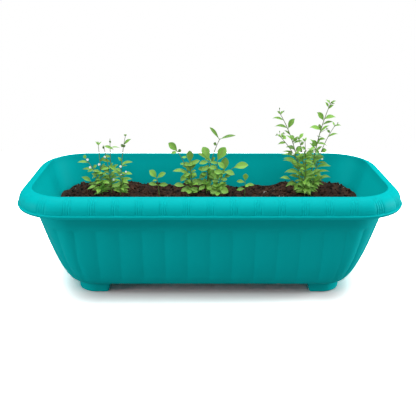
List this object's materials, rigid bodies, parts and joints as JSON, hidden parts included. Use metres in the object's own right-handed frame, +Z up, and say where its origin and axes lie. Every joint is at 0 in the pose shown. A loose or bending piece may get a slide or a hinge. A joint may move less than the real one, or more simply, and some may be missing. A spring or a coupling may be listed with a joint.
{
  "type": "planted window box planter",
  "caption": "Rectangular moulded plastic planter with a rolled grooved rim, fluted tapering walls and corner feet, filled with soil and young plants.",
  "frame": {"origin": "on the ground under the middle of the trough", "axes": "+Z up, +X along the trough to its right end seen from the front, front towards -Y"},
  "size_m": [0.6, 0.292, 0.2915],
  "materials": {
    "teal_plastic": "satin",
    "soil": "matte",
    "foliage": "satin"
  },
  "bodies": {
    "root": {"trough": "teal_plastic", "potting_soil": "soil", "left_herb_1": "foliage", "left_herb_2": "foliage", "left_herb_3": "foliage", "seedling_1": "foliage", "middle_herb_1": "foliage", "middle_herb_2": "foliage", "middle_herb_3": "foliage", "seedling_2": "foliage", "right_shrub_1": "foliage", "right_shrub_2": "foliage", "right_shrub_3": "foliage", "right_shrub_4": "foliage"}
  },
  "joints": []
}
